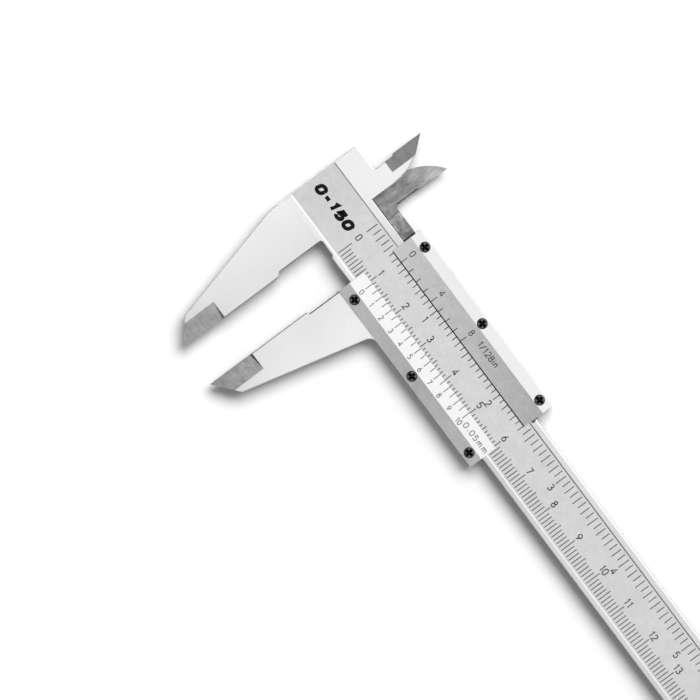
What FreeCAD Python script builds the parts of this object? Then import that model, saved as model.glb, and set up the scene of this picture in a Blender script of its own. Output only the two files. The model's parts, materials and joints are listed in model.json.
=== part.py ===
"""Vernier caliper, 150 mm, reading 0.05 mm and 1/128 in, as an assembly of separate pieces.

The caliper lies on its back with the scales facing up.
Row frame: the origin is the centre of the fixed outside jaw's measuring face, +X runs along the beam
towards its free end, +Y runs from the outside jaws to the inside jaws, and +Z points out of the scale face.
The pieces are drawn with y = 0 on the beam's lower edge, and export() moves them into the row frame.
All sizes are in millimetres. At rest the jaws stand open by REST_OPENING.
"""

import FreeCAD
import Part
import math
import os

Vector = FreeCAD.Vector

# ---------------------------------------------------------------- driving dimensions
JAW_CENTRE_TO_BEAM = 27.0  # from the measuring face's centre up to the beam's lower edge
REST_OPENING = 10.85  # distance between the outside jaws as stored

# beam and head
BEAM_END = 216.0  # the beam's free end
BEAM_WIDTH = 16.2
THICKNESS = 3.5  # of beam and jaws
HALF = THICKNESS / 2
HEAD_LEFT = -14.3
HEAD_TOP = 20.8
HEAD_RIGHT = -1.4  # where the head stands up from the beam's upper edge
EDGE_BREAK = 0.22  # chamfer on the beam's and jaws' sharp edges
UPPER_EDGE_ROUND = 0.7  # rounding of the beam's upper edge in front, where the gib's end hooks over it
ROUND_START = 14.0  # nearer the head the edge is only broken
SCALE_STRIP = (1.15, 14.45)  # the sunk strip that carries the scales, from y to y
SCALE_DEPTH = 0.15
SCALE_WALL = 0.3  # width of the strip's sloping side walls
MID_GAP = 0.05  # half the gap between the two inside blades

# outside jaws
JAW_TIP = -42.0
JAW_TAPER_END = -36.8  # where the outer edge turns in to the tip
FACE_START = -12.9  # the measuring face runs from here to the tip
JAW_RELIEF = 0.9  # the fixed jaw's edge is set back by this near the beam
SLIDING_RELIEF = 0.7
NIB_START = -29.3  # the thin nibs run from here to the tip
NIB_WIDTH = 4.7
NIB_EDGE = 0.5  # half the nib's thickness at the measuring face
NIB_STEP = 0.05  # step at the nib's far side
NIB_WALL_LEAN = 0.8  # how far the nib's end wall leans over its height

# inside jaws
INSIDE_EDGE = -7.4  # the fixed blade's measuring edge
BLADE_TIP = 35.2
BLADE_EDGE_START = 26.8
BLADE_BEVEL_WIDTH = 3.6
BLADE_BEVEL_START = 24.1
BLADE_EDGE_THICKNESS = 0.3
TONGUE_TOP = 19.7
TONGUE_CLEARANCE = 0.1  # between the beam's upper edge and what slides along it
BRAZE_LINE = 4.9  # where the sliding inside jaw is brazed to the slider's tongue

# slider
SLIDER_LEFT = REST_OPENING + 0.5
SLIDER_RIGHT = 64.5
SLIDER_LOW = -3.55
SLIDER_HIGH = 21.3
BACK_Z = -3.0  # outer face of the slider's back
SLIDE_GAP = 0.03  # sliding clearance in front of and behind the beam
EDGE_GAP = 0.05  # sliding clearance at the beam's lower edge
UPPER_RAIL_LOW = 16.9  # inner wall of the upper rail, behind the gib
DECK_Z = HALF + SLIDE_GAP  # top of the rails, where the vernier plates sit

# vernier plates: y of the thin reading edge, of the ridge, and of the outer edge
INCH_PLATE_Y = (12.55, 18.3, SLIDER_HIGH)
METRIC_PLATE_Y = (4.1, -0.25, SLIDER_LOW)
READING_EDGE = 0.35  # plate thickness at the reading edge
INCH_EDGE_BREAK = (0.3, 0.05)  # the inch plate's edge is blunted: width, and what stays of the thickness
METRIC_EDGE_BREAK = (0.02, 0.33)
RIDGE_Z = 3.55
OUTER_Z = 3.1
PLATE_BREAK = 0.12

# the six plate screws
SCREW_X = (15.3, 38.4, 61.5)
INCH_SCREW_Y = 19.58
METRIC_SCREW_Y = -1.69
SCREW_HEAD_R = 1.3
SCREW_SEAT_R = 1.35
SCREW_SEAT_Z = 2.6
SCREW_TOP_Z = 3.68
SCREW_SHANK_R = 0.78
SCREW_HOLE_R = 0.8
PLATE_HOLE_R = 0.88
SCREW_END_Z = -0.9
CROSS_REACH = 1.12  # from the recess's centre to the end of each arm
CROSS_WIDTH = 0.78
CROSS_DEPTH = 0.6
CROSS_TURN = 11.0  # degrees that the tightened plate screws' recesses stand off the beam's direction
SCREW_CROWN = 0.42  # rounding of the head

# gib and its set screws
GIB_THICKNESS = 0.5
GIB_HALF_HEIGHT = 1.6
GIB_LEFT = 12.4
GIB_NECK_OUT = 0.28  # how far the neck of the gib's hooked end stands out of the slider
GIB_HOOK_OUT = 0.66  # how far the rounded hook does
GIB_HOOK_Y = (14.65, 16.05)  # the hook lies over the beam's front face
GIB_HOOK_Z = (HALF + 0.06, HALF + 0.55)
SET_SCREW_X = (24.0, 54.0)
SET_SCREW_R = 0.97
SET_HOLE_R = 1.0
SET_SCREW_SINK = 0.5

# depth rod
ROD_Y = (6.2, 9.8)
ROD_Z = (-1.6, -0.3)
GROOVE_Y = (6.0, 10.0)
GROOVE_TOP = -0.15
GROOVE_START = 30.0
ROD_FOOT = (46.0, 62.0)
ROD_RIVET_X = (49.5, 58.5)
ROD_NIB = (4.5, 8.0)  # length of the slanted tip, and y of its narrow end
RIVET_HEAD_R = 1.4
RIVET_HEAD_DEPTH = 0.65
RIVET_R = 0.75

# end stop
STOP_LEFT = 205.2
STOP_Y = (1.0, 15.0)
STOP_CORNER = 1.2
STOP_SCREW_X = 210.6
STOP_SCREW_Y = (3.4, 12.6)
STOP_HEAD_R = 1.7
STOP_HEAD_DEPTH = 0.75
STOP_SHANK_R = 0.95
STOP_SCREW_END_Z = 0.5
FIT_GAP = 0.02  # radial clearance of a fastener in its own hole


# ---------------------------------------------------------------- drawing helpers
def wire_of(points, place):
    """Closed wire through points. A point given as ("arc", via, end) is reached by an arc through via."""
    edges = []
    here = place(*points[0])
    for point in list(points[1:]) + [points[0]]:
        if point[0] == "arc":
            via, end = place(*point[1]), place(*point[2])
            edges.append(Part.Arc(here, via, end).toShape())
        else:
            end = place(*point)
            edges.append(Part.LineSegment(here, end).toShape())
        here = end
    return Part.Wire(edges)


def plate(points, z_low, z_high):
    """Outline in x and y, extruded along z."""
    face = Part.Face(wire_of(points, lambda x, y: Vector(x, y, z_low)))
    return face.extrude(Vector(0, 0, z_high - z_low))


def bar_along_x(points, x_low, x_high):
    """Section in y and z, extruded along x."""
    face = Part.Face(wire_of(points, lambda y, z: Vector(x_low, y, z)))
    return face.extrude(Vector(x_high - x_low, 0, 0))


def bar_along_y(points, y_low, y_high):
    """Section in x and z, extruded along y."""
    face = Part.Face(wire_of(points, lambda x, z: Vector(x, y_low, z)))
    return face.extrude(Vector(0, y_high - y_low, 0))


def block(x, y, z):
    """Box from pairs of limits."""
    size = [high - low for low, high in (x, y, z)]
    return Part.makeBox(*size, Vector(x[0], y[0], z[0]))


def rod_between(radius, start, end):
    """Cylinder from one point to another."""
    axis = Vector(*end) - Vector(*start)
    return Part.makeCylinder(radius, axis.Length, Vector(*start), axis)


def flipped(shape):
    """The same shape mirrored front to back."""
    return shape.mirror(Vector(0, 0, 0), Vector(0, 0, 1))


def edges_on_plane(shape, z, keep=lambda edge: True):
    """Edges that lie wholly at height z."""
    found = []
    for edge in shape.Edges:
        if all(abs(vertex.Z - z) < 1e-6 for vertex in edge.Vertexes) and keep(edge):
            found.append(edge)
    return found


def break_edges(shape, size, z, keep=lambda edge: True):
    """Chamfers the edges at height z."""
    return shape.makeChamfer(size, edges_on_plane(shape, z, keep))


def joined(*shapes):
    """One solid out of several that touch or overlap."""
    return shapes[0].multiFuse(list(shapes[1:])).removeSplitter()


def export(name, shape):
    """Writes one node, moved from the beam's lower edge to the measuring face's centre."""
    moved = shape.copy()
    moved.translate(Vector(0, JAW_CENTRE_TO_BEAM, 0))
    os.makedirs("parts", exist_ok=True)
    moved.exportStep(f"parts/{name}.step")
    print(f"{name:26s} valid={moved.isValid()} solids={len(moved.Solids)} volume={moved.Volume:9.2f} mm3")


# ---------------------------------------------------------------- shared features
def nib_cutter():
    """What is ground off the front of a fixed outside jaw's nib: a wedge, deepest at the measuring face."""
    slope = (HALF - NIB_STEP - NIB_EDGE) / NIB_WIDTH
    past = 1.0
    wedge = bar_along_y(
        [
            (-NIB_WIDTH, HALF - NIB_STEP),
            (-NIB_WIDTH, HALF + past),
            (past, HALF + past),
            (past, NIB_EDGE - slope * past),
        ],
        JAW_TIP - past,
        NIB_START,
    )
    lean = NIB_WALL_LEAN / (HALF - NIB_EDGE)
    end_wall = bar_along_x(
        [
            (NIB_START, HALF),
            (NIB_START + lean * past, HALF + past),
            (JAW_TIP - 2 * past, HALF + past),
            (JAW_TIP - 2 * past, -past),
            (NIB_START - lean * (HALF + past), -past),
        ],
        -2 * NIB_WIDTH,
        2 * past,
    )
    return wedge.common(end_wall)


def blade_cutter(edge_x):
    """What is ground off a front blade whose measuring edge, at edge_x, faces -X."""
    root_x = edge_x + BLADE_BEVEL_WIDTH
    root_z = HALF - NIB_STEP
    slope = (root_z - MID_GAP - BLADE_EDGE_THICKNESS) / BLADE_BEVEL_WIDTH
    past = 2.0
    return bar_along_y(
        [
            (root_x, root_z),
            (root_x, HALF + 1),
            (edge_x - past, HALF + 1),
            (edge_x - past, MID_GAP + BLADE_EDGE_THICKNESS - slope * past),
        ],
        BLADE_BEVEL_START,
        BLADE_TIP + past,
    )


def cross_recess(x, y, top_z, into=-1, turn=0.0):
    """Tapered cross recess for a screwdriver, cut into -Z or, with into=1, into +Z. turn is in degrees."""
    arms = []
    for along_x in (True, False):
        wide, deep = (CROSS_REACH, CROSS_WIDTH / 2), (CROSS_REACH * 0.45, CROSS_WIDTH * 0.35)
        section = []
        for level, (reach, side) in ((0.05, wide), (-CROSS_DEPTH, deep)):
            half_x, half_y = (reach, side) if along_x else (side, reach)
            z = top_z - into * level
            corners = [(-half_x, -half_y), (half_x, -half_y), (half_x, half_y), (-half_x, half_y)]
            section.append(wire_of(corners, lambda a, b, z=z: Vector(x + a, y + b, z)))
        arms.append(Part.makeLoft(section, True))
    cross = joined(*arms)
    cross.rotate(Vector(x, y, 0), Vector(0, 0, 1), turn)
    return cross


# ---------------------------------------------------------------- the pieces
def beam():
    """Rule, fixed outside jaw and fixed inside jaw, all of one piece."""
    jaw_and_rule = [
        (HEAD_LEFT, BEAM_WIDTH),
        (HEAD_LEFT, -3.6),
        ("arc", (HEAD_LEFT + 0.09, -5.09), (HEAD_LEFT + 0.37, -6.55)),
        (-6.3, JAW_TAPER_END),
        (0, JAW_TIP),
        (0, FACE_START),
        (-JAW_RELIEF, FACE_START + 0.7),
        (-JAW_RELIEF, -0.1),
        ("arc", (-0.72, 0.32), (-0.3, 0.5)),
        (3.2, 0.5),
        (4.1, 0),
        (BEAM_END, 0),
        (BEAM_END, BEAM_WIDTH),
    ]
    body = plate(jaw_and_rule, -HALF, HALF)
    # the head and the fixed inside jaw are only half as thick, so that the sliding jaw passes behind them
    head_and_blade = [
        (HEAD_LEFT, BEAM_WIDTH - 1),
        (HEAD_RIGHT, BEAM_WIDTH - 1),
        (HEAD_RIGHT, HEAD_TOP),
        ("arc", (HEAD_RIGHT - 0.198, 24.2), (HEAD_RIGHT - 0.8, 27.6)),
        (-3.9, 31.1),
        (INSIDE_EDGE, BLADE_TIP),
        (INSIDE_EDGE, BLADE_EDGE_START),
        (INSIDE_EDGE + 0.45, BLADE_EDGE_START - 0.4),
        (INSIDE_EDGE + 0.45, HEAD_TOP + 0.6),
        ("arc", (INSIDE_EDGE + 0.27, HEAD_TOP + 0.18), (INSIDE_EDGE - 0.15, HEAD_TOP)),
        (HEAD_LEFT, HEAD_TOP),
    ]
    body = joined(body, plate(head_and_blade, MID_GAP, HALF))
    body = break_edges(body, EDGE_BREAK, HALF)
    body = break_edges(body, EDGE_BREAK, -HALF)

    low, high = SCALE_STRIP
    past = 1.0
    floor_z = HALF - SCALE_DEPTH
    strip = bar_along_x(
        [
            (low - SCALE_WALL * past / SCALE_DEPTH, HALF + past),
            (low + SCALE_WALL, floor_z),
            (high - SCALE_WALL, floor_z),
            (high + SCALE_WALL * past / SCALE_DEPTH, HALF + past),
        ],
        HEAD_LEFT - past,
        BEAM_END + past,
    )
    # the walls slope, so the cutter is trimmed to the strip's own width at the surface
    strip = strip.common(block((HEAD_LEFT - past, BEAM_END + past), (low, high), (0, HALF + past)))
    round_y = BEAM_WIDTH - UPPER_EDGE_ROUND
    round_z = HALF - UPPER_EDGE_ROUND
    reach = UPPER_EDGE_ROUND * math.sqrt(0.5)
    upper_corner = bar_along_x(
        [
            (round_y, HALF + past),
            (round_y, HALF),
            ("arc", (round_y + reach, round_z + reach), (BEAM_WIDTH, round_z)),
            (BEAM_WIDTH + past, round_z),
            (BEAM_WIDTH + past, HALF + past),
        ],
        ROUND_START,
        BEAM_END + past,
    )
    nib = nib_cutter()
    groove = block((GROOVE_START, BEAM_END + past), GROOVE_Y, (-HALF - past, GROOVE_TOP))
    body = body.cut([strip, upper_corner, nib, flipped(nib), blade_cutter(INSIDE_EDGE), groove])
    for y in STOP_SCREW_Y:
        outside, inside = (STOP_SCREW_X, y, -HALF - past), (STOP_SCREW_X, y, STOP_SCREW_END_Z + 0.1)
        body = body.cut(rod_between(STOP_SHANK_R + FIT_GAP, outside, inside))
    return body


def sliding_jaw():
    """Outline of the sliding outside jaw, thinned to a nib at its tip."""
    face = REST_OPENING
    outline = [
        (face + SLIDING_RELIEF, -1.0),
        (face + SLIDING_RELIEF, FACE_START + 0.5),
        (face, FACE_START),
        (face, JAW_TIP),
        (17.05, JAW_TAPER_END),
        (24.65, -5.6),
        ("arc", (25.35, -4.2), (26.8, SLIDER_LOW)),
        (26.8, -1.0),
    ]
    jaw = plate(outline, -HALF, HALF)
    jaw = jaw.makeChamfer(EDGE_BREAK, edges_on_plane(jaw, HALF) + edges_on_plane(jaw, -HALF))
    nib = nib_cutter().mirror(Vector(0, 0, 0), Vector(1, 0, 0))
    nib.translate(Vector(face, 0, 0))
    return jaw.cut([nib, flipped(nib)])


def countersunk(x, y, head_r, head_depth, shank_r, end_z, bottom_z=BACK_Z):
    """Countersunk fastener driven into the back of the caliper."""
    cone = Part.makeCone(head_r, shank_r, head_depth, Vector(x, y, bottom_z), Vector(0, 0, 1))
    shank = rod_between(shank_r, (x, y, bottom_z + head_depth), (x, y, end_z))
    return joined(cone, shank)


def slider_body():
    """Back, two rails, outside jaw and the tongue that carries the inside jaw."""
    length = (SLIDER_LEFT, SLIDER_RIGHT)
    channel = [
        (SLIDER_LOW, DECK_Z),
        (SLIDER_LOW, BACK_Z + 0.5),
        (SLIDER_LOW + 0.5, BACK_Z),
        (SLIDER_HIGH - 0.5, BACK_Z),
        (SLIDER_HIGH, BACK_Z + 0.5),
        (SLIDER_HIGH, DECK_Z),
        (UPPER_RAIL_LOW, DECK_Z),
        (UPPER_RAIL_LOW, -HALF - SLIDE_GAP),
        (-EDGE_GAP, -HALF - SLIDE_GAP),
        (-EDGE_GAP, DECK_Z),
    ]
    tongue_low = BEAM_WIDTH + TONGUE_CLEARANCE
    tongue = block((BRAZE_LINE, SLIDER_LEFT), (tongue_low, TONGUE_TOP), (-HALF, -MID_GAP))
    tongue_root = block((SLIDER_LEFT, SLIDER_LEFT + 1), (UPPER_RAIL_LOW, TONGUE_TOP), (-HALF, -MID_GAP))
    body = joined(bar_along_x(channel, *length), sliding_jaw(), tongue, tongue_root)
    holes = []
    for x in SCREW_X:
        for y in (INCH_SCREW_Y, METRIC_SCREW_Y):
            holes.append(rod_between(SCREW_HOLE_R, (x, y, SCREW_END_Z - 0.2), (x, y, DECK_Z + 1)))
    for x in SET_SCREW_X:
        holes.append(rod_between(SET_HOLE_R, (x, UPPER_RAIL_LOW - 0.5, 0), (x, SLIDER_HIGH + 1, 0)))
    for x in ROD_RIVET_X:
        y = sum(ROD_Y) / 2
        holes.append(countersunk(x, y, RIVET_HEAD_R, RIVET_HEAD_DEPTH, RIVET_R, 0))
    return body.cut(holes)


def slider_inside_jaw():
    """L-shaped inside jaw, half as thick as the beam, brazed to the slider's tongue."""
    edge = REST_OPENING + INSIDE_EDGE
    low = BEAM_WIDTH + TONGUE_CLEARANCE
    outline = [
        (-2.9, low),
        (BRAZE_LINE, low),
        (BRAZE_LINE, TONGUE_TOP),
        (edge + 0.35, TONGUE_TOP),
        (edge - 0.3, TONGUE_TOP + 0.65),
        (edge - 0.3, BLADE_EDGE_START - 0.4),
        (edge, BLADE_EDGE_START),
        (edge, BLADE_TIP),
        ("arc", (-0.15, 31.35), (-1.95, 27.4)),
    ]
    jaw = plate(outline, -HALF, -MID_GAP)
    jaw = break_edges(jaw, EDGE_BREAK / 2, -MID_GAP, lambda e: abs(e.CenterOfMass.x - BRAZE_LINE) > 1e-6)
    bevel = flipped(blade_cutter(0).mirror(Vector(0, 0, 0), Vector(1, 0, 0)))
    bevel.translate(Vector(edge, 0, 0))
    return jaw.cut(bevel)


def vernier_plate(edge_y, ridge_y, outer_y, screw_y, edge_break):
    """Plate that closes the slider in front: a bevel down to the reading edge, a ridge and a screwed band."""
    out = math.copysign(PLATE_BREAK, outer_y - ridge_y)
    blunt, left_over = edge_break
    section = [
        (edge_y, DECK_Z),
        (edge_y, DECK_Z + left_over),
        (edge_y + math.copysign(blunt, outer_y - ridge_y), DECK_Z + READING_EDGE),
        (ridge_y, RIDGE_Z),
        (outer_y - out, OUTER_Z),
        (outer_y, OUTER_Z - PLATE_BREAK),
        (outer_y, DECK_Z),
    ]
    body = bar_along_x(section, SLIDER_LEFT, SLIDER_RIGHT)
    for x in SCREW_X:
        hole = rod_between(PLATE_HOLE_R, (x, screw_y, DECK_Z - 1), (x, screw_y, RIDGE_Z + 1))
        seat = rod_between(SCREW_SEAT_R, (x, screw_y, SCREW_SEAT_Z), (x, screw_y, RIDGE_Z + 1))
        body = body.cut([hole, seat])
    return body


def plate_screw(x, y):
    """Cheese-head screw with a cross recess."""
    head = rod_between(SCREW_HEAD_R, (x, y, SCREW_SEAT_Z), (x, y, SCREW_TOP_Z))
    head = head.makeFillet(SCREW_CROWN, edges_on_plane(head, SCREW_TOP_Z))
    shank = rod_between(SCREW_SHANK_R, (x, y, SCREW_END_Z), (x, y, SCREW_SEAT_Z))
    return joined(head, shank).cut(cross_recess(x, y, SCREW_TOP_Z, turn=CROSS_TURN))


def gib_strip():
    """Flat strip between the beam's upper edge and the slider, its end hooked over the beam's front face."""
    low = BEAM_WIDTH + EDGE_GAP
    start = SLIDER_RIGHT + SLIDE_GAP
    neck_end = SLIDER_RIGHT + GIB_NECK_OUT
    strip = block((GIB_LEFT, neck_end), (low, low + GIB_THICKNESS), (-GIB_HALF_HEIGHT, GIB_HALF_HEIGHT))
    neck = block((start, neck_end), (low, low + GIB_THICKNESS), (0, GIB_HOOK_Z[1]))
    bridge = block((start, neck_end), (sum(GIB_HOOK_Y) / 2, low + GIB_THICKNESS), GIB_HOOK_Z)
    hook_low, hook_high = GIB_HOOK_Y
    tip = (SLIDER_RIGHT + GIB_HOOK_OUT, (hook_low + hook_high) / 2)
    hook = plate([(start, hook_low), ("arc", tip, (start, hook_high))], *GIB_HOOK_Z)
    return joined(strip, neck, bridge, hook)


def gib_set_screw(x):
    """Slotted grub screw that presses on the gib."""
    tip = BEAM_WIDTH + EDGE_GAP + GIB_THICKNESS
    top = SLIDER_HIGH - SET_SCREW_SINK
    screw = rod_between(SET_SCREW_R, (x, tip, 0), (x, top, 0))
    slot = block((x - 0.18, x + 0.18), (top - 0.6, top + 1), (-1.5, 1.5))
    return screw.cut(slot)


def depth_rod():
    """Flat rod in the beam's back groove. Its end is flush with the beam's when the jaws are closed."""
    low, high = ROD_Y
    end = BEAM_END + REST_OPENING
    length, narrow_y = ROD_NIB
    outline = [(ROD_FOOT[0], low), (end, low), (end, narrow_y), (end - length, high), (ROD_FOOT[0], high)]
    rod = plate(outline, *ROD_Z)
    foot = block(ROD_FOOT, ROD_Y, (-HALF - SLIDE_GAP, ROD_Z[0]))
    body = joined(rod, foot)
    for x in ROD_RIVET_X:
        y = (low + high) / 2
        body = body.cut(rod_between(RIVET_R, (x, y, -HALF - 1), (x, y, ROD_Z[1] - 0.2)))
    return body


def depth_rod_rivet(x):
    """Countersunk rivet through the slider's back into the rod's foot."""
    y = sum(ROD_Y) / 2
    return countersunk(x, y, RIVET_HEAD_R - FIT_GAP, RIVET_HEAD_DEPTH, RIVET_R - FIT_GAP, ROD_Z[1] - 0.3)


def end_stop_plate():
    """Plate across the beam's back that stops the slider and guides the depth rod."""
    low, high = STOP_Y
    body = block((STOP_LEFT, BEAM_END), STOP_Y, (BACK_Z, -HALF))
    corners = []
    for edge in body.Edges:
        centre = edge.CenterOfMass
        if abs(centre.z - (BACK_Z - HALF) / 2) < 1e-6 and abs(centre.x - STOP_LEFT) < 1e-6:
            corners.append(edge)
    body = body.makeFillet(STOP_CORNER, corners)
    body = break_edges(body, EDGE_BREAK, BACK_Z)
    for y in STOP_SCREW_Y:
        body = body.cut(countersunk(STOP_SCREW_X, y, STOP_HEAD_R, STOP_HEAD_DEPTH, STOP_SHANK_R + FIT_GAP, 0))
    return body


def end_stop_screw(y):
    """Countersunk screw that holds the end stop."""
    screw = countersunk(
        STOP_SCREW_X, y, STOP_HEAD_R - FIT_GAP, STOP_HEAD_DEPTH, STOP_SHANK_R, STOP_SCREW_END_Z
    )
    return screw.cut(cross_recess(STOP_SCREW_X, y, BACK_Z, into=1))


def main():
    export("beam", beam())
    export("slider_body", slider_body())
    export("slider_inside_jaw", slider_inside_jaw())
    export("inch_vernier_plate", vernier_plate(*INCH_PLATE_Y, INCH_SCREW_Y, INCH_EDGE_BREAK))
    export("metric_vernier_plate", vernier_plate(*METRIC_PLATE_Y, METRIC_SCREW_Y, METRIC_EDGE_BREAK))
    for number, x in enumerate(SCREW_X, 1):
        export(f"inch_plate_screw_{number}", plate_screw(x, INCH_SCREW_Y))
        export(f"metric_plate_screw_{number}", plate_screw(x, METRIC_SCREW_Y))
    export("gib_strip", gib_strip())
    for number, x in enumerate(SET_SCREW_X, 1):
        export(f"gib_set_screw_{number}", gib_set_screw(x))
    export("depth_rod", depth_rod())
    for number, x in enumerate(ROD_RIVET_X, 1):
        export(f"depth_rod_rivet_{number}", depth_rod_rivet(x))
    export("end_stop_plate", end_stop_plate())
    for number, y in enumerate(STOP_SCREW_Y, 1):
        export(f"end_stop_screw_{number}", end_stop_screw(y))


main()
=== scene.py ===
"""Looks of the vernier caliper: scale marks, metal finishes with painted light and shade, floor, soft studio
light and the camera.
"""

import json
import math

import bpy
from mathutils import Matrix, Vector


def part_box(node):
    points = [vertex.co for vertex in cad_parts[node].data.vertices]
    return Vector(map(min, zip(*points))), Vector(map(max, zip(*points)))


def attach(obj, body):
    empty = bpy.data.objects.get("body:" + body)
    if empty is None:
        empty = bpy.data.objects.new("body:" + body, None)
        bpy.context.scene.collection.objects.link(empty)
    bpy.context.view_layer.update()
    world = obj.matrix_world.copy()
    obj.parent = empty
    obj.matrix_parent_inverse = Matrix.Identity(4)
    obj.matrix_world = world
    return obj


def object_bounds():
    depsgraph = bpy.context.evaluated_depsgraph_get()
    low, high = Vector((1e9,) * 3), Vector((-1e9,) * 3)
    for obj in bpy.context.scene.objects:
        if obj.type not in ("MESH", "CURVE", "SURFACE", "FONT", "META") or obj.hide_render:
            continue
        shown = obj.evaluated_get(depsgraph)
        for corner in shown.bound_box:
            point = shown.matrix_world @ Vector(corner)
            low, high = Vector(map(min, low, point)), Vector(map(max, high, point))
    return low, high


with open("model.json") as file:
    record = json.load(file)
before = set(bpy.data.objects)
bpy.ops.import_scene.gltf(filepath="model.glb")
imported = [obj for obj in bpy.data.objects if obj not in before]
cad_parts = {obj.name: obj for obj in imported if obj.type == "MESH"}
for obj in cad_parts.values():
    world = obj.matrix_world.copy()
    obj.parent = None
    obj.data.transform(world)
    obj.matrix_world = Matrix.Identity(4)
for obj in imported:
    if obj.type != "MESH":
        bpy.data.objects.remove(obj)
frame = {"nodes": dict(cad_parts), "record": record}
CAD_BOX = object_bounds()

MM = 0.001
BEAM_BODY = "beam_body"
SLIDER = "slider"

# ---------------------------------------------------------------- where things are, in mm
EDGE_Y = 27.0  # the beam's lower edge in the row frame; the Y values below are measured up from it
SCALE_Z = 1.6  # floor of the sunk strip that carries the main scales
SCALE_ZERO_X = 4.0
SCALE_LENGTH = 150
MOUNTS = {mount["name"]: mount["pos_m"] for mount in frame["record"]["mounts"]}
REST_OPENING = (MOUNTS["sliding_jaw_face"][0] - MOUNTS["fixed_jaw_face"][0]) / MM
VERNIER_ZERO_X = SCALE_ZERO_X + REST_OPENING
INCH = 25.4

METRIC_BASE_Y = 1.9
METRIC_LENGTHS = {10: 4.1, 5: 3.6, 1: 3.1}
METRIC_FIGURE_Y = 7.3
INCH_TOP_Y = 13.7
INCH_LENGTHS = {8: 3.2, 2: 2.9, 1: 2.4}  # by sixteenths
INCH_FIGURE_Y = 9.1
ZERO_FIGURE_Y = 8.15
FIGURE_HEIGHT = 1.7
TICK_WIDTH = 0.235  # this and the other widths are of a stroke
FIGURE_WIDTH = 0.3

LEGEND_PLACE = (-5.4, 7.85)
LEGEND_HEIGHT = 2.0
LEGEND_WIDTH = 0.95

READING_EDGE_Z = 2.13  # top of a vernier plate's reading edge
RIDGE_Z = 3.55  # top of its ridge, where the bevel ends
SCREW_TOP_Z = 3.68
RECESS_DEPTH = 0.16  # the cross recess is painted near black below this, painted shade in the recess
VERNIER_FIGURE_WIDTH = 0.24
INCH_EDGE_Y, INCH_RIDGE_Y = 12.85, 18.3
INCH_VERNIER_COUNT = 8
INCH_VERNIER_STEP = INCH * 15 / 16 / INCH_VERNIER_COUNT
INCH_VERNIER_LENGTHS = {4: 1.8, 1: 1.3}
INCH_VERNIER_FIGURE_Y = 16.2
INCH_VERNIER_FIGURE_HEIGHT = 1.6
INCH_UNIT_PLACE = (45.25, 16.25)
INCH_UNIT_HEIGHT = 1.5
INCH_UNIT_WIDTH = 0.27
METRIC_EDGE_Y, METRIC_RIDGE_Y = 4.1, -0.25
METRIC_VERNIER_COUNT = 20
METRIC_VERNIER_STEP = 1.95
METRIC_VERNIER_LENGTHS = {2: 2.1, 1: 1.6}
METRIC_VERNIER_FIGURE_Y = 0.85
METRIC_VERNIER_FIGURE_HEIGHT = 1.25
METRIC_UNIT_PLACE = (59.6, 1.7)
METRIC_UNIT_HEIGHT = 1.35

SLIDER_X = [corner[0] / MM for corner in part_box("inch_vernier_plate")]
BRAZE_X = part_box("slider_inside_jaw")[1][0] / MM  # the joint is at the end of the blade's foot
BLADE_EDGE_X = REST_OPENING - 7.4

CHROME = 0.785  # reflectance of the satin chrome
MARK_LIFT = 0.012  # top of a mark above the metal
MARK_SINK = 0.03  # foot of a mark below it


# ---------------------------------------------------------------- stroke figures
def arc(cx, cy, rx, ry, start, end, steps=12):
    """Points along part of an ellipse, in degrees anticlockwise from +X."""
    points = []
    for k in range(steps + 1):
        angle = math.radians(start + (end - start) * k / steps)
        points.append((cx + rx * math.cos(angle), cy + ry * math.sin(angle)))
    return points


# each figure is 1 high, as (advance width, strokes)
FIGURES = {
    "0": (
        0.62,
        [arc(0.31, 0.68, 0.27, 0.32, 0, 180) + arc(0.31, 0.32, 0.27, 0.32, 180, 360) + [(0.58, 0.68)]],
    ),
    "1": (0.5, [[(0.1, 0.8), (0.3, 1.0), (0.3, 0.0)]]),
    "2": (0.62, [arc(0.31, 0.72, 0.25, 0.28, 165, -35) + [(0.04, 0.0), (0.6, 0.0)]]),
    "3": (0.62, [arc(0.29, 0.76, 0.24, 0.24, 150, -90), arc(0.29, 0.27, 0.28, 0.27, 95, -155)]),
    "4": (0.66, [[(0.46, 0.0), (0.46, 1.0), (0.03, 0.27), (0.64, 0.27)]]),
    "5": (0.62, [[(0.54, 1.0), (0.12, 1.0), (0.07, 0.56)] + arc(0.29, 0.31, 0.28, 0.31, 125, -150)]),
    "6": (0.62, [[(0.47, 1.0), (0.1, 0.45)] + arc(0.31, 0.3, 0.27, 0.3, 160, 520, 20)]),
    "7": (0.6, [[(0.03, 1.0), (0.56, 1.0), (0.2, 0.0)]]),
    "8": (0.62, [arc(0.31, 0.77, 0.22, 0.23, 0, 360, 18), arc(0.31, 0.27, 0.27, 0.27, 0, 360, 18)]),
    "9": (0.62, [[(0.15, 0.0), (0.52, 0.55)] + arc(0.31, 0.7, 0.27, 0.3, -20, 340, 20)]),
    "/": (0.5, [[(0.04, -0.08), (0.46, 1.08)]]),
    ".": (0.28, [[(0.14, 0.0), (0.14, 0.2)]]),
    "-": (0.5, [[(0.06, 0.45), (0.44, 0.45)]]),
    "i": (0.24, [[(0.12, 0.0), (0.12, 0.68)], [(0.12, 0.88), (0.12, 1.0)]]),
    "n": (
        0.58,
        [
            [(0.08, 0.68), (0.08, 0.0)],
            [(0.08, 0.4)] + arc(0.29, 0.44, 0.21, 0.24, 180, 0) + [(0.5, 0.0)],
        ],
    ),
    "m": (
        0.86,
        [
            [(0.08, 0.68), (0.08, 0.0)],
            [(0.08, 0.44)] + arc(0.25, 0.46, 0.17, 0.22, 180, 0) + [(0.42, 0.0)],
            [(0.42, 0.44)] + arc(0.59, 0.46, 0.17, 0.22, 180, 0) + [(0.76, 0.0)],
        ],
    ),
}


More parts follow.
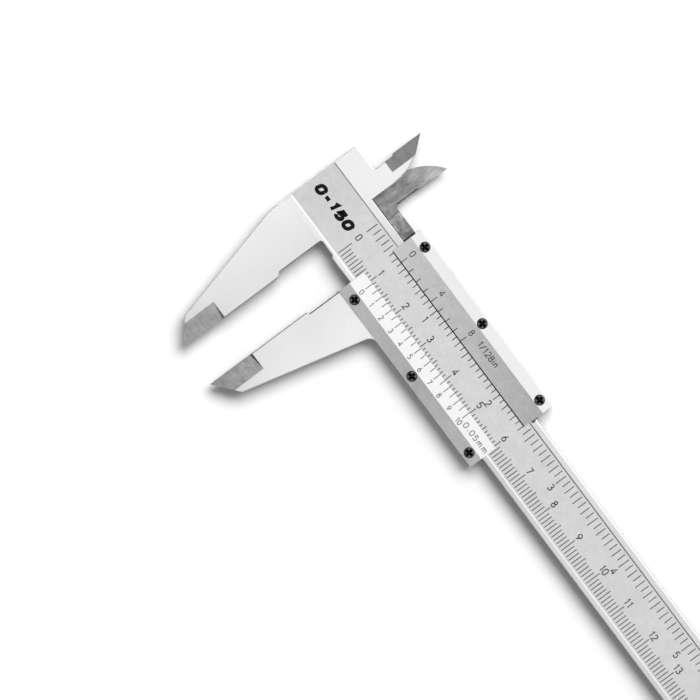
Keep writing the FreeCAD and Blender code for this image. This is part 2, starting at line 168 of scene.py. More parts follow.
def text_width(text, height, spacing):
    return sum(FIGURES[c][0] for c in text) * height + spacing * (len(text) - 1)


class Marks:
    """Strokes laid on a surface whose height over (x, y) is known, gathered into one mesh.

    Sizes are in mm, and y is measured up from the beam's lower edge.
    """

    def __init__(self, name, height_at):
        self.name = name
        self.height_at = height_at
        self.vertices = []
        self.faces = []

    def stroke(self, path, width):
        """A flat-topped ribbon along a path, with mitred corners, as a closed solid."""
        sides = []
        for k, point in enumerate(path):
            here = Vector(point)
            before = (here - Vector(path[k - 1])).normalized() if k else None
            after = (Vector(path[k + 1]) - here).normalized() if k + 1 < len(path) else None
            along = (before or after) + (after or before)
            along.normalize()
            across = Vector((-along.y, along.x))
            bend = abs(along.dot(after or before))
            offset = across * (width / 2 / max(bend, 0.5))
            sides.append((here + offset, here - offset))
        first = len(self.vertices)
        for left, right in sides:
            for point in (left, right):
                base = self.height_at(point.x, point.y)
                for level in (MARK_LIFT, -MARK_SINK):
                    self.vertices.append((point.x * MM, (point.y + EDGE_Y) * MM, (base + level) * MM))
        # each path point has 4 vertices: left top, left foot, right top, right foot
        for k in range(len(path) - 1):
            a, b = first + 4 * k, first + 4 * (k + 1)
            self.faces.append((a, a + 2, b + 2, b))
            self.faces.append((a + 1, b + 1, b + 3, a + 3))
            self.faces.append((a, b, b + 1, a + 1))
            self.faces.append((a + 2, a + 3, b + 3, b + 2))
        last = first + 4 * (len(path) - 1)
        self.faces.append((first, first + 1, first + 3, first + 2))
        self.faces.append((last, last + 2, last + 3, last + 1))

    def tick(self, x, y_start, y_end):
        self.stroke([(x, y_start), (x, y_end)], TICK_WIDTH)

    def text(self, text, place, height, width=FIGURE_WIDTH, spacing=0.22, stretch=1.0, slant=0.0):
        """Text centred on a place (x, y)."""
        x, y = place
        left = x - text_width(text, height, spacing) * stretch / 2
        for character in text:
            advance, strokes = FIGURES[character]
            for path in strokes:
                placed = []
                for px, py in path:
                    shift = slant * (py - 0.5) * height
                    placed.append((left + px * height * stretch + shift, y + (py - 0.5) * height))
                self.stroke(placed, width)
            left += (advance * height + spacing) * stretch

    def build(self, material, body):
        mesh = bpy.data.meshes.new(self.name)
        mesh.from_pydata(self.vertices, [], self.faces)
        mesh.update()
        mesh.materials.append(material)
        piece = bpy.data.objects.new(self.name, mesh)
        bpy.context.scene.collection.objects.link(piece)
        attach(piece, body)
        return piece


def longest_division(count, lengths):
    """Length of a tick from the largest division that it falls on."""
    for division in sorted(lengths, reverse=True):
        if count % division == 0:
            return lengths[division]


def on_strip(x, y):
    return SCALE_Z


def on_bevel(y, edge_y, ridge_y):
    """Height of a vernier plate's bevel, which climbs from the reading edge to the ridge."""
    rise = RIDGE_Z - READING_EDGE_Z
    return READING_EDGE_Z + rise * (y - edge_y) / (ridge_y - edge_y)


def on_inch_bevel(x, y):
    return on_bevel(y, INCH_EDGE_Y, INCH_RIDGE_Y)


def on_metric_bevel(x, y):
    return on_bevel(y, METRIC_EDGE_Y, METRIC_RIDGE_Y)


def metric_scale(material):
    marks = Marks("metric_scale", on_strip)
    for count in range(SCALE_LENGTH + 1):
        x = SCALE_ZERO_X + count
        marks.tick(x, METRIC_BASE_Y, METRIC_BASE_Y + longest_division(count, METRIC_LENGTHS))
    marks.text("0", (SCALE_ZERO_X - 0.05, ZERO_FIGURE_Y), FIGURE_HEIGHT)
    for centimetre in range(1, SCALE_LENGTH // 10 + 1):
        place = (SCALE_ZERO_X + 10 * centimetre, METRIC_FIGURE_Y)
        marks.text(str(centimetre), place, FIGURE_HEIGHT)
    return marks.build(material, BEAM_BODY)


def inch_scale(material):
    marks = Marks("inch_scale", on_strip)
    step = INCH / 16
    for count in range(int(SCALE_LENGTH / step) + 1):
        x = SCALE_ZERO_X + step * count
        marks.tick(x, INCH_TOP_Y - longest_division(count, INCH_LENGTHS), INCH_TOP_Y)
    for inch in range(1, int(SCALE_LENGTH / INCH) + 1):
        place = (SCALE_ZERO_X + INCH * inch, INCH_FIGURE_Y)
        marks.text(str(inch), place, FIGURE_HEIGHT)
    return marks.build(material, BEAM_BODY)


def range_legend(material):
    """A plain legend with the measuring range, on the head."""
    marks = Marks("range_legend", on_strip)
    marks.text("0-150", LEGEND_PLACE, LEGEND_HEIGHT, LEGEND_WIDTH, spacing=0.5, stretch=1.66, slant=0.25)
    return marks.build(material, BEAM_BODY)


def inch_vernier(material):
    marks = Marks("inch_vernier", on_inch_bevel)
    for count in range(INCH_VERNIER_COUNT + 1):
        x = VERNIER_ZERO_X + INCH_VERNIER_STEP * count
        marks.tick(x, INCH_EDGE_Y, INCH_EDGE_Y + longest_division(count, INCH_VERNIER_LENGTHS))
        if count % 4 == 0:
            place = (x, INCH_VERNIER_FIGURE_Y)
            marks.text(str(count), place, INCH_VERNIER_FIGURE_HEIGHT, VERNIER_FIGURE_WIDTH)
    marks.text("1/128in", INCH_UNIT_PLACE, INCH_UNIT_HEIGHT, INCH_UNIT_WIDTH, stretch=1.08)
    return marks.build(material, SLIDER)


def metric_vernier(material):
    marks = Marks("metric_vernier", on_metric_bevel)
    for count in range(METRIC_VERNIER_COUNT + 1):
        x = VERNIER_ZERO_X + METRIC_VERNIER_STEP * count
        marks.tick(x, METRIC_EDGE_Y - longest_division(count, METRIC_VERNIER_LENGTHS), METRIC_EDGE_Y)
        if count % 2 == 0:
            place = (x, METRIC_VERNIER_FIGURE_Y)
            marks.text(str(count // 2), place, METRIC_VERNIER_FIGURE_HEIGHT, VERNIER_FIGURE_WIDTH)
    width = VERNIER_FIGURE_WIDTH
    marks.text("0.05mm", METRIC_UNIT_PLACE, METRIC_UNIT_HEIGHT, width, spacing=0.35, stretch=1.25)
    return marks.build(material, SLIDER)


# ---------------------------------------------------------------- materials
def new_material(name, colour, metallic, roughness):
    """A material with its Principled shader; the tools for adding nodes to it come with it."""
    material = bpy.data.materials.new(name)
    material.use_nodes = True
    shader = material.node_tree.nodes["Principled BSDF"]
    shader.inputs["Base Color"].default_value = (*colour, 1.0)
    shader.inputs["Metallic"].default_value = metallic
    shader.inputs["Roughness"].default_value = roughness
    return material, Nodes(material.node_tree), shader


class Nodes:
    """Short ways to add and link shader nodes."""

    def __init__(self, tree):
        self.tree = tree
        coordinates = tree.nodes.new("ShaderNodeTexCoord")
        self.place = coordinates.outputs["Object"]

    def _set(self, socket, value):
        if isinstance(value, bpy.types.NodeSocket):
            self.tree.links.new(value, socket)
        else:
            socket.default_value = value

    def noise(self, scale, detail=4.0, roughness=0.55, distortion=0.0):
        """Noise whose features repeat scale[k] times a metre along each axis."""
        mapping = self.tree.nodes.new("ShaderNodeMapping")
        mapping.inputs["Scale"].default_value = scale
        self.tree.links.new(self.place, mapping.inputs["Vector"])
        node = self.tree.nodes.new("ShaderNodeTexNoise")
        node.inputs["Scale"].default_value = 1.0
        node.inputs["Detail"].default_value = detail
        node.inputs["Roughness"].default_value = roughness
        node.inputs["Distortion"].default_value = distortion
        self.tree.links.new(mapping.outputs["Vector"], node.inputs["Vector"])
        return node.outputs["Fac"]

    def math(self, operation, a, b):
        node = self.tree.nodes.new("ShaderNodeMath")
        node.operation = operation
        self._set(node.inputs[0], a)
        self._set(node.inputs[1], b)
        return node.outputs[0]

    def remap(self, value, low, high, to_low, to_high):
        node = self.tree.nodes.new("ShaderNodeMapRange")
        node.clamp = True
        self._set(node.inputs["Value"], value)
        node.inputs["From Min"].default_value = low
        node.inputs["From Max"].default_value = high
        node.inputs["To Min"].default_value = to_low
        node.inputs["To Max"].default_value = to_high
        return node.outputs["Result"]

    def mix(self, factor, a, b):
        """Between two colours, or two colour outputs."""
        node = self.tree.nodes.new("ShaderNodeMix")
        node.data_type = "RGBA"
        self._set(node.inputs[0], factor)
        self._set(node.inputs[6], (*a, 1.0) if isinstance(a, tuple) else a)
        self._set(node.inputs[7], (*b, 1.0) if isinstance(b, tuple) else b)
        return node.outputs[2]

    def scale(self, colour, factor):
        """A colour times a number."""
        node = self.tree.nodes.new("ShaderNodeVectorMath")
        node.operation = "SCALE"
        self._set(node.inputs[0], colour)
        self._set(node.inputs["Scale"], factor)
        return node.outputs[0]

    def blend(self, factor, a, b):
        """Between two numbers."""
        node = self.tree.nodes.new("ShaderNodeMix")
        node.data_type = "FLOAT"
        self._set(node.inputs[0], factor)
        self._set(node.inputs[2], a)
        self._set(node.inputs[3], b)
        return node.outputs[0]

    def bump(self, height, strength, distance):
        node = self.tree.nodes.new("ShaderNodeBump")
        node.inputs["Strength"].default_value = strength
        node.inputs["Distance"].default_value = distance
        self.tree.links.new(height, node.inputs["Height"])
        return node.outputs["Normal"]

    def along(self, axis):
        """The place along X, Y or Z in the row frame, in metres."""
        node = self.tree.nodes.new("ShaderNodeSeparateXYZ")
        self.tree.links.new(self.place, node.inputs[0])
        return node.outputs[axis]

    def inside(self, *boxes):
        """1 inside any of the boxes, each ((x, x), (y, y)) in mm in the row frame, and 0 outside."""
        node = self.tree.nodes.new("ShaderNodeSeparateXYZ")
        self.tree.links.new(self.place, node.inputs[0])
        total = None
        for (x_low, x_high), (y_low, y_high) in boxes:
            tests = [
                self.math("GREATER_THAN", node.outputs["X"], x_low * MM),
                self.math("LESS_THAN", node.outputs["X"], x_high * MM),
                self.math("GREATER_THAN", node.outputs["Y"], y_low * MM),
                self.math("LESS_THAN", node.outputs["Y"], y_high * MM),
            ]
            both = tests[0]
            for test in tests[1:]:
                both = self.math("MULTIPLY", both, test)
            total = both if total is None else self.math("MAXIMUM", total, both)
        return total

    def mottled(self, colour, pattern, shade, depth):
        """The colour times a shade, which a pattern varies by a share depth of itself."""
        return self.scale(colour, self.remap(pattern, 0.3, 0.7, shade * (1 - depth), shade * (1 + depth)))

    def aged(self, colour, painted_fades, painted_shade_lines_and_joints):
        """The colour with painted light and shade changing slowly along an axis, then with dark lines in it:
        painted shade lines and dark joints.
        """
        for axis, areas, (start, start_shade), (end, end_shade) in painted_fades:
            shade = self.remap(self.along(axis), start * MM, end * MM, start_shade, end_shade)
            colour = self.scale(colour, self.blend(self.inside(*areas), 1.0, shade))
        for area, shade in painted_shade_lines_and_joints:
            colour = self.mix(self.inside(area), colour, (shade,) * 3)
        return colour


def satin_chrome(name, brightness, painted_fades=(), matt_and_painted_light=(), ground=(), painted_shade_lines_and_joints=()):
    """Fine dull chrome over steel. Areas are boxes as in Nodes.inside.

    painted_fades: (axis, areas, (start, shade), (end, shade)), painted light and shade that changes slowly
    along an axis.
    matt_and_painted_light: (area, shade, roughness, mottling), rougher areas whose colour the shade scales: a
    duller finish in some, painted light and shade in others; mottling is the depth of the cloudiness.
    ground: (area, shade, mottling) of bare cross-brushed steel.
    painted_shade_lines_and_joints: (area, shade) of dark lines, painted shade along shaded edges and dark
    joints.
    """
    base = (brightness,) * 3
    material, nodes, shader = new_material(name, base, 1.0, 0.27)
    grain = nodes.noise((5000, 5000, 5000), 3.0, 0.6)
    streaks = nodes.noise((260, 2600, 2600), 3.0, 0.6)
    cloud = nodes.noise((60, 60, 60), 3.0, 0.5)
    fine = nodes.mix(nodes.remap(grain, 0.3, 0.7, 0, 1), (brightness * 0.97,) * 3, (brightness * 1.02,) * 3)
    fine = nodes.mix(nodes.remap(streaks, 0.35, 0.65, 0, 0.6), fine, (brightness * 0.97,) * 3)
    colour = nodes.mix(nodes.remap(cloud, 0.35, 0.65, 0, 0.5), fine, (brightness * 0.965,) * 3)
    roughness = nodes.remap(cloud, 0.3, 0.7, 0.25, 0.3)
    height = grain
    if matt_and_painted_light or ground:
        mottles = nodes.noise((420, 420, 420), 2.0, 0.5)
        specks = nodes.noise((1500, 1500, 1500), 2.0, 0.5)
    for area, shade, area_roughness, mottling in matt_and_painted_light:
        mask = nodes.inside(area)
        plated = nodes.mottled(fine, mottles, shade, mottling)
        colour = nodes.mix(mask, colour, nodes.mottled(plated, specks, 1, mottling))
        roughness = nodes.blend(mask, roughness, area_roughness)
    if ground:
        lines = nodes.noise((90, 1900, 90), 4.0, 0.6, 0.2)
        dark = nodes.mix(nodes.remap(lines, 0.3, 0.7, 0, 1), (0.28, 0.28, 0.28), (0.38, 0.38, 0.38))
        for area, shade, mottling in ground:
            bare = nodes.mottled(dark, mottles, shade, mottling)
            bare = nodes.mottled(bare, specks, 1, mottling * 0.6)
            colour = nodes.mix(nodes.inside(area), colour, bare)
        mask = nodes.inside(*[area for area, shade, mottling in ground])
        roughness = nodes.blend(mask, roughness, 0.33)
        height = nodes.blend(mask, grain, lines)
    nodes.tree.links.new(nodes.aged(colour, painted_fades, painted_shade_lines_and_joints), shader.inputs["Base Color"])
    nodes.tree.links.new(roughness, shader.inputs["Roughness"])
    nodes.tree.links.new(nodes.bump(height, 0.12, 0.00002), shader.inputs["Normal"])
    return material


def ground_steel(name, shade, painted_fades=(), painted_shade_lines_and_joints=()):
    """Bare ground steel: fine scratches one way, and blotches where the wheel passed.

    painted_fades and painted_shade_lines_and_joints are as in satin_chrome.
    """
    material, nodes, shader = new_material(name, (shade, shade, shade), 1.0, 0.34)
    lines = nodes.noise((2400, 240, 240), 5.0, 0.65, 0.3)
    patches = nodes.noise((450, 300, 300), 4.0, 0.6, 0.8)
    colour = nodes.mix(nodes.remap(lines, 0.3, 0.7, 0, 1), (shade * 0.73,) * 3, (shade * 1.27,) * 3)
    colour = nodes.mix(nodes.remap(patches, 0.38, 0.66, 0, 0.85), colour, (shade * 0.6,) * 3)
    nodes.tree.links.new(nodes.aged(colour, painted_fades, painted_shade_lines_and_joints), shader.inputs["Base Color"])
    nodes.tree.links.new(nodes.remap(patches, 0.3, 0.7, 0.28, 0.4), shader.inputs["Roughness"])
    nodes.tree.links.new(nodes.bump(lines, 0.25, 0.00002), shader.inputs["Normal"])
    return material


def black_oxide(name, recess_z):
    """Blackened steel whose cross recess, below recess_z, is painted near black as shade."""
    material, nodes, shader = new_material(name, (0.13, 0.13, 0.135), 1.0, 0.35)
    specks = nodes.noise((1500, 1500, 1500), 3.0)
    colour = nodes.mix(nodes.remap(specks, 0.35, 0.65, 0, 1), (0.07, 0.07, 0.073), (0.2, 0.2, 0.205))
    # painted shade: the cross recess is coloured near black
    recess_shade_mask = nodes.math("LESS_THAN", nodes.along("Z"), recess_z * MM)
    colour = nodes.mix(recess_shade_mask, colour, (0.008, 0.008, 0.008))
    nodes.tree.links.new(colour, shader.inputs["Base Color"])
    nodes.tree.links.new(nodes.remap(specks, 0.3, 0.7, 0.24, 0.42), shader.inputs["Roughness"])
    nodes.tree.links.new(nodes.bump(specks, 0.2, 0.00002), shader.inputs["Normal"])
    return material


def mark_ink(name, light, dark, gloss=0.5):
    """Filling of engraved marks, thinner in places."""
    material, nodes, shader = new_material(name, (dark, dark, dark), 0.0, 0.6)
    shader.inputs["Specular IOR Level"].default_value = gloss
    wear = nodes.noise((420, 420, 420), 3.0, 0.6)
    colour = nodes.mix(nodes.remap(wear, 0.35, 0.7, 0, 1), (dark,) * 3, (light,) * 3)
    nodes.tree.links.new(colour, shader.inputs["Base Color"])
    nodes.tree.links.new(nodes.bump(wear, 0.1, 0.00001), shader.inputs["Normal"])
    return material


# ---------------------------------------------------------------- build
def dress(node, material):
    """Gives a CAD node its finished material."""
    data = frame["nodes"][node].data
    data.materials.clear()
    data.materials.append(material)


def beam_finish():
    jaw = ((-20, 2), (-20, EDGE_Y))
    head_edge = ((-14.4, -14.05), (EDGE_Y - 3, EDGE_Y + 22))
    below_strip = ((-20, 220), (-20, EDGE_Y + 1.3))
    lower_rail = ((-20, 220), (EDGE_Y - 1, EDGE_Y + 1.2))
    lower_wall = ((-20, 220), (EDGE_Y + 1.15, EDGE_Y + 1.46))
    strip = ((-20, 220), (EDGE_Y + 1.44, EDGE_Y + 14.2))
    upper_wall = ((20, 220), (EDGE_Y + 14.15, EDGE_Y + 14.45))
    above_strip = ((-20, 220), (EDGE_Y + 14.35, 70))
    upper_rail_near = ((-1.4, 32), (EDGE_Y + 14.4, EDGE_Y + 17))
    upper_rail_far = ((42, 220), (EDGE_Y + 14.4, EDGE_Y + 17))
    upper_lip = ((-1.4, 220), (EDGE_Y + 15.7, EDGE_Y + 17))
    upper_edge = ((12, 220), (EDGE_Y + 16.1, EDGE_Y + 17))
    blade_edge = ((-7.4, -6.9), (EDGE_Y + 20.5, EDGE_Y + 24.1))
    nib = ((-4.68, 1), (-20, -2.35))
    facet = ((-8, -3.9), (EDGE_Y + 24.1, EDGE_Y + 40))
    return satin_chrome(
        "beam_chrome",
        CHROME,
        # The fades are painted light and shade: the chrome dims away from the head, the jaw darkens towards
        # its nib, the rails darken near the slider and lighten further off, the lower groove wall and the
        # strip change along the beam, and the upper groove wall is darkened into a painted shade line.
        painted_fades=(
            ("X", (below_strip, above_strip), (-10, 1.06), (140, 0.88)),
            ("X", (jaw,), (-12, 1.0), (-2, 0.92)),
            ("Y", (jaw,), (-12, 0.9), (6, 1.0)),
            ("X", (lower_rail,), (-3, 0.98), (60, 0.82)),
            ("X", (lower_rail,), (78, 1.0), (92, 1.12)),
            ("X", (lower_wall,), (-8, 0.93), (60, 0.86)),
            ("X", (lower_wall,), (60, 1.0), (85, 0.9)),
            ("X", (strip,), (-8, 0.94), (3, 1.0)),
            ("X", (upper_rail_near,), (3, 0.97), (10, 0.83)),
            ("X", (upper_rail_near,), (15, 1.0), (32, 1.2)),
            ("X", (upper_rail_far,), (42, 1.0), (60, 0.88)),
            ("X", (upper_rail_far,), (68, 1.0), (77, 1.09)),
            ("X", (upper_lip,), (SLIDER_X[0], 1.0), (SLIDER_X[1], 1.03)),
            ("X", (upper_wall,), (20, 1.0), (55, 0.62)),
        ),
        matt_and_painted_light=(
            (strip, 0.88, 0.34, 0.035),
            # The head edge, blade edge and upper edge are rougher and painted 1.2 times lighter: painted
            # light over the dark line of their shaded chamfers.
            (head_edge, 1.2, 0.8, 0.01),
            (blade_edge, 1.2, 0.8, 0.01),
            (upper_edge, 1.2, 0.8, 0.01),
        ),
        # The fixed nib's shade of 1.72 against the facet's 1.05 is painted light on the tilted nib, which the
        # lamps leave darker.
        ground=((nib, 1.72, 0.12), (facet, 1.05, 0.11)),
    )


def slider_finish():
    jaw = ((8, 30), (-20, EDGE_Y - 3.5))
    # painted shade: a dark line along the jaw's relieved edge, whose chamfer is shaded
    relief_shade = ((REST_OPENING + 0.6, REST_OPENING + 0.86), (EDGE_Y - 12.5, EDGE_Y - 3.6))
    nib = ((10, 15.53), (-20, -2.35))
    tongue = ((0, SLIDER_X[0] - 0.01), (EDGE_Y + 15, EDGE_Y + 20))
    # painted shadow: the last 0.35 mm of the tongue, next to the slider's end, is dark as the slider's shadow
    # on it
    slider_end_shadow = ((SLIDER_X[0] - 0.35, SLIDER_X[0] - 0.01), (EDGE_Y + 15, EDGE_Y + 20))
    return satin_chrome(
        "slider_chrome",
        CHROME,
        # painted light and shade: the jaw lightens towards its outer side and darkens towards its nib, and
        # the tongue darkens towards the slider's end
        painted_fades=(
            ("X", (jaw,), (11, 0.99), (20, 1.06)),
            ("Y", (jaw,), (-13, 0.85), (-2, 1.0)),
            ("X", (tongue,), (BRAZE_X, 1.1), (SLIDER_X[0], 0.85)),
        ),
        ground=((nib, 1.18, 0.19), (tongue, 0.86, 0.44)),
        painted_shade_lines_and_joints=((slider_end_shadow, 0.03), (relief_shade, 0.25)),
    )


def inch_plate_finish():
    bevel = ((-10, 80), (EDGE_Y, EDGE_Y + INCH_RIDGE_Y))
    # painted shadow: a dark line on the plate along its reading edge, standing in for the shade under that
    # edge
    edge = ((SLIDER_X[0] + 0.5, 80), (EDGE_Y, EDGE_Y + INCH_EDGE_Y - 0.01))
    return satin_chrome(
        "inch_plate_chrome",
        CHROME * 0.98,
        # painted light and shade: the bevel is lighter at the slider's left end, darker at its right end, and
        # darker towards the ridge
        painted_fades=(
            ("X", (bevel,), (SLIDER_X[0], 1.19), (SLIDER_X[1], 0.9)),
            ("Y", (bevel,), (EDGE_Y + 14, 1.0), (EDGE_Y + 17, 0.955)),
        ),
        matt_and_painted_light=((bevel, 1.0, 0.27, 0.045),),
        painted_shade_lines_and_joints=((edge, 0.03),),
    )


def metric_plate_finish():
    band = ((-10, 80), (EDGE_Y - 5, EDGE_Y + METRIC_RIDGE_Y))
    bevel = ((-10, 80), (EDGE_Y + METRIC_RIDGE_Y, EDGE_Y + 10))
    return satin_chrome(
        "metric_plate_chrome",
        CHROME * 0.98,
        # painted light and shade: the bevel dims towards the slider's right end, and the band darkens past
        # its middle and lightens again towards its right end
        painted_fades=(
            ("X", (bevel,), (30, 1.0), (SLIDER_X[1], 0.97)),
            ("X", (band,), (24, 1.0), (38, 0.9)),
            ("X", (band,), (42, 1.0), (52, 1.1)),
        ),
        # the band's shade of 0.83 is painted shade: the band leans away from the light, so it is painted
        # darker than the bevel
        matt_and_painted_light=((band, 0.83, 0.3, 0.05),),
    )


def inside_blade_finish():
    """Painted shade darkens its foot and the part next to the fixed blade, a painted shade line runs along
    the relieved edge, and the brazed joint is a dark line.
    """
    whole = ((-5, 6), (EDGE_Y, EDGE_Y + 40))
    fixed_blade_shadow = ((-2.5, 6), (EDGE_Y + 16.9, EDGE_Y + 23))
    # painted shade: a dark line along the relieved measuring edge, whose side is shaded
    relief_shade = ((BLADE_EDGE_X - 0.55, BLADE_EDGE_X), (EDGE_Y + 20.4, EDGE_Y + 26.6))
    joint = ((BRAZE_X - 0.16, BRAZE_X + 0.1), (EDGE_Y, EDGE_Y + 22))
    return ground_steel(
        "blade_steel",
        0.371,
        # painted light and shade: darker at the foot and lighter at the tip, and a painted shadow of the
        # fixed blade next to it
        painted_fades=(
            ("Y", (whole,), (EDGE_Y + 25, 0.87), (EDGE_Y + 33, 1.4)),
            ("X", (fixed_blade_shadow,), (-1.35, 0.68), (0.0, 1.0)),
        ),
        painted_shade_lines_and_joints=((relief_shade, 0.06), (joint, 0.12)),
    )


def dress_all():
    plain_chrome = satin_chrome("plain_chrome", CHROME)
    steel = ground_steel("ground_steel", 0.4)
    black = black_oxide("black_oxide", SCREW_TOP_Z - RECESS_DEPTH)
    dress("beam", beam_finish())
    dress("slider_body", slider_finish())
    dress("slider_inside_jaw", inside_blade_finish())
    dress("inch_vernier_plate", inch_plate_finish())
    dress("metric_vernier_plate", metric_plate_finish())
    dress("end_stop_plate", plain_chrome)
    dress("gib_strip", ground_steel("spring_steel", 0.12))
    dress("depth_rod", steel)
    for node in frame["nodes"]:
        if "plate_screw" in node or "set_screw" in node:
            dress(node, black)
        elif "rivet" in node or "end_stop_screw" in node:
            dress(node, steel)


def floor():
    """A wide pale floor that the slider's back rests on."""
    half = 3.0
    z = CAD_BOX[0][2]
    mesh = bpy.data.meshes.new("floor")
    corners = [(-half, -half, z), (half, -half, z), (half, half, z), (-half, half, z)]
    mesh.from_pydata(corners, [], [(0, 1, 2, 3)])
    material, nodes, shader = new_material("floor_paper", (PAPER, PAPER, PAPER), 0.0, 0.9)
    shader.inputs["Specular IOR Level"].default_value = 0.1
    tone = nodes.noise((8, 8, 8), 2.0)
    colour = nodes.mix(nodes.remap(tone, 0.3, 0.7, 0, 1), (PAPER * 0.99,) * 3, (PAPER * 1.01,) * 3)
    nodes.tree.links.new(colour, shader.inputs["Base Color"])
    mesh.materials.append(material)
    piece = bpy.data.objects.new("floor", mesh)
    bpy.context.scene.collection.objects.link(piece)
    return piece


# ---------------------------------------------------------------- light
# sizes and distances are in metres, and radiance is relative to white paper
LIGHT_TARGET = Vector((0.03, 0.02, 0.0))
WORLD = 0.58
WORLD_PEAK = 2.4
# share of the peak at points from one horizon (0) over the top (0.5) to the other (1)
WORLD_SHADES = {
    "Y": ((0.0, 0.14), (0.06, 0.15), (0.22, 0.4167), (0.8, 0.4167), (0.93, 1.0), (1.0, 1.0)),
    "X": ((0.0, 0.45), (0.05, 0.45), (0.2, 1.0), (0.8, 1.0), (0.95, 0.45), (1.0, 0.45)),
}
OVERHEAD_LEAN = 28.0  # degrees from straight up, towards +Y
OVERHEAD_TILT = 8.0  # degrees from straight up, towards -X
OVERHEAD_DISTANCE = 3.0
OVERHEAD_SIZE = (3.8, 4.3)
OVERHEAD_RADIANCE = 0.58
KEY_DIRECTION = (-0.32, 0.69, 1.0)
KEY_DISTANCE = 4.5
KEY_SIZE = (4.2, 2.8)
KEY_RADIANCE = 18.8
FILL_DISTANCE = 3.0
FILL_SIZE = (3.0, 3.0)
FILL_RADIANCE = 0.52
PAPER = 0.4  # reflectance of the floor


def softbox(name, place, shape, size, radiance, lit, casting=None):
    """Area light facing the caliper, a rectangle or an ellipse.

    It lights only what the collection lit lets in, and only what casting lets in throws a shadow from it.
    """
    width, height = size
    data = bpy.data.lights.new(name, "AREA")
    data.shape = shape
    data.size = width
    data.size_y = height
    area = width * height * (math.pi / 4 if shape == "ELLIPSE" else 1)
    data.energy = radiance * area * math.pi
    light = bpy.data.objects.new(name, data)
    light.location = place
    sight = (LIGHT_TARGET - place).normalized()
    light.rotation_euler = sight.to_track_quat("-Z", "Y").to_euler()
    light.light_linking.receiver_collection = lit
    if casting:
        light.light_linking.blocker_collection = casting
    bpy.context.scene.collection.objects.link(light)


def linked(name, pieces, state):
    """Collection that lets a light or its shadows take in only the pieces, or everything else."""
    group = bpy.data.collections.new(name)
    for piece in pieces:
        group.objects.link(piece)
    for entry in group.collection_objects:
        entry.light_linking.link_state = state
    return group


def surroundings():
    """A world whose brightness is a product of two curves, one over each horizontal axis of the direction."""
    world = bpy.data.worlds.new("studio")
    bpy.context.scene.world = world
    world.use_nodes = True
    tree = world.node_tree
    background = tree.nodes["Background"]
    background.inputs["Color"].default_value = (1, 1, 1, 1)
    direction = tree.nodes.new("ShaderNodeTexCoord")
    parts = tree.nodes.new("ShaderNodeSeparateXYZ")
    tree.links.new(direction.outputs["Generated"], parts.inputs[0])
    level = tree.nodes.new("ShaderNodeMath")
    level.operation = "MULTIPLY"
    level.inputs[1].default_value = WORLD * WORLD_PEAK
    product = tree.nodes.new("ShaderNodeMath")
    product.operation = "MULTIPLY"
    for socket, (axis, points) in zip(product.inputs, WORLD_SHADES.items()):
        halves = tree.nodes.new("ShaderNodeMapRange")
        halves.inputs["From Min"].default_value = -1.0
        curve = tree.nodes.new("ShaderNodeFloatCurve")
        curve.inputs["Factor"].default_value = 1.0
        line = curve.mapping.curves[0]
        for place, value in points[1:-1]:
            line.points.new(place, value)
        line.points[0].location = points[0]
        line.points[-1].location = points[-1]
        curve.mapping.update()
        tree.links.new(parts.outputs[axis], halves.inputs["Value"])
        tree.links.new(halves.outputs["Result"], curve.inputs["Value"])
        tree.links.new(curve.outputs[0], socket)
    tree.links.new(product.outputs[0], level.inputs[0])
    tree.links.new(level.outputs[0], background.inputs["Strength"])


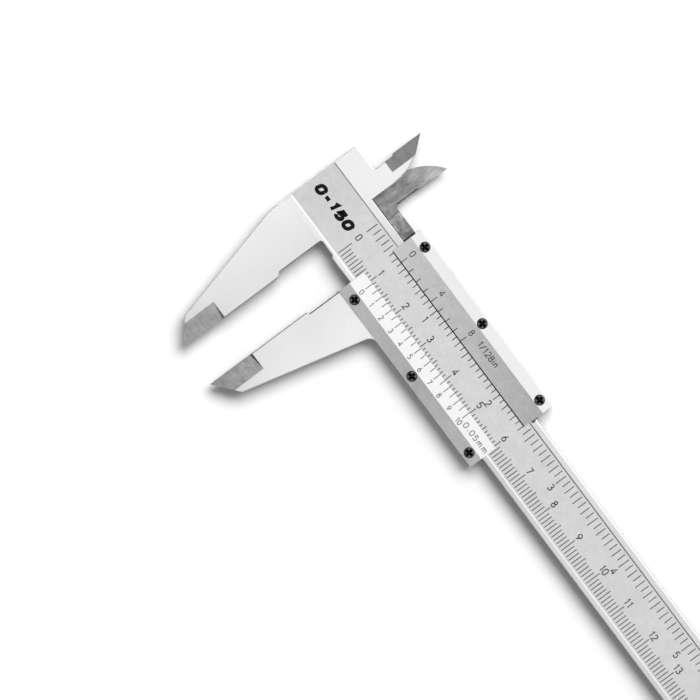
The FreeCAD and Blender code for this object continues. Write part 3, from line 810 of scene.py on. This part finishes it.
def lamps(paper):
    """The overhead lights only the metal; the key and the fill light only the paper.

    The vernier plates and their screws throw no shadow from the key, and nothing throws one from the fill.
    """
    on_object = linked("lit_by_overhead", [paper], "EXCLUDE")
    on_paper = linked("lit_by_key", [paper], "INCLUDE")
    plates = [piece for node, piece in frame["nodes"].items() if "plate" in node and "end_stop" not in node]
    without_plates = linked("shadow_of_key", plates, "EXCLUDE")
    no_shadow = linked("shadow_of_fill", [paper], "INCLUDE")
    lean = math.radians(OVERHEAD_LEAN)
    tilt = math.radians(OVERHEAD_TILT)
    overhead_direction = Vector((-math.tan(tilt), math.tan(lean), 1))
    over = LIGHT_TARGET + overhead_direction.normalized() * OVERHEAD_DISTANCE
    softbox("overhead_softbox", over, "RECTANGLE", OVERHEAD_SIZE, OVERHEAD_RADIANCE, on_object)
    key = LIGHT_TARGET + Vector(KEY_DIRECTION).normalized() * KEY_DISTANCE
    softbox("key_softbox", key, "ELLIPSE", KEY_SIZE, KEY_RADIANCE, on_paper, without_plates)
    above = LIGHT_TARGET + Vector((0, 0, FILL_DISTANCE))
    softbox("fill_softbox", above, "RECTANGLE", FILL_SIZE, FILL_RADIANCE, on_paper, no_shadow)


def studio(paper):
    surroundings()
    lamps(paper)
    bpy.context.scene.view_settings.view_transform = "Standard"
    bpy.context.scene.view_settings.look = "None"


# ---------------------------------------------------------------- camera
# its place in metres, the right of its view and its line of sight, in the row frame
CAMERA_PLACE = (-0.06744, 0.10542, 2.08759)
CAMERA_RIGHT = (0.599572, 0.800286, -0.007474)
CAMERA_SIGHT = (0.043959, -0.042255, -0.998139)
CAMERA_LENS = 444.65  # mm, on the standard 36 mm sensor


def camera():
    data = bpy.data.cameras.new("camera")
    data.sensor_width = 36
    data.lens = CAMERA_LENS
    data.clip_start = 0.05
    data.clip_end = 20
    piece = bpy.data.objects.new("camera", data)
    bpy.context.scene.collection.objects.link(piece)
    sight = Vector(CAMERA_SIGHT).normalized()
    right = Vector(CAMERA_RIGHT)
    right = (right - sight * right.dot(sight)).normalized()
    down = sight.cross(right)
    turn = Matrix((right, -down, -sight)).transposed()
    piece.matrix_world = Matrix.Translation(CAMERA_PLACE) @ turn.to_4x4()
    bpy.context.scene.camera = piece


# ---------------------------------------------------------------- run
def main():
    camera()
    dress_all()
    dark_ink = mark_ink("scale_ink", 0.13, 0.07)
    black_ink = mark_ink("legend_ink", 0.012, 0.006, gloss=0.1)
    metric_scale(dark_ink)
    inch_scale(dark_ink)
    inch_vernier(dark_ink)
    metric_vernier(mark_ink("vernier_ink", 0.3, 0.2))
    range_legend(black_ink)
    studio(floor())


main()
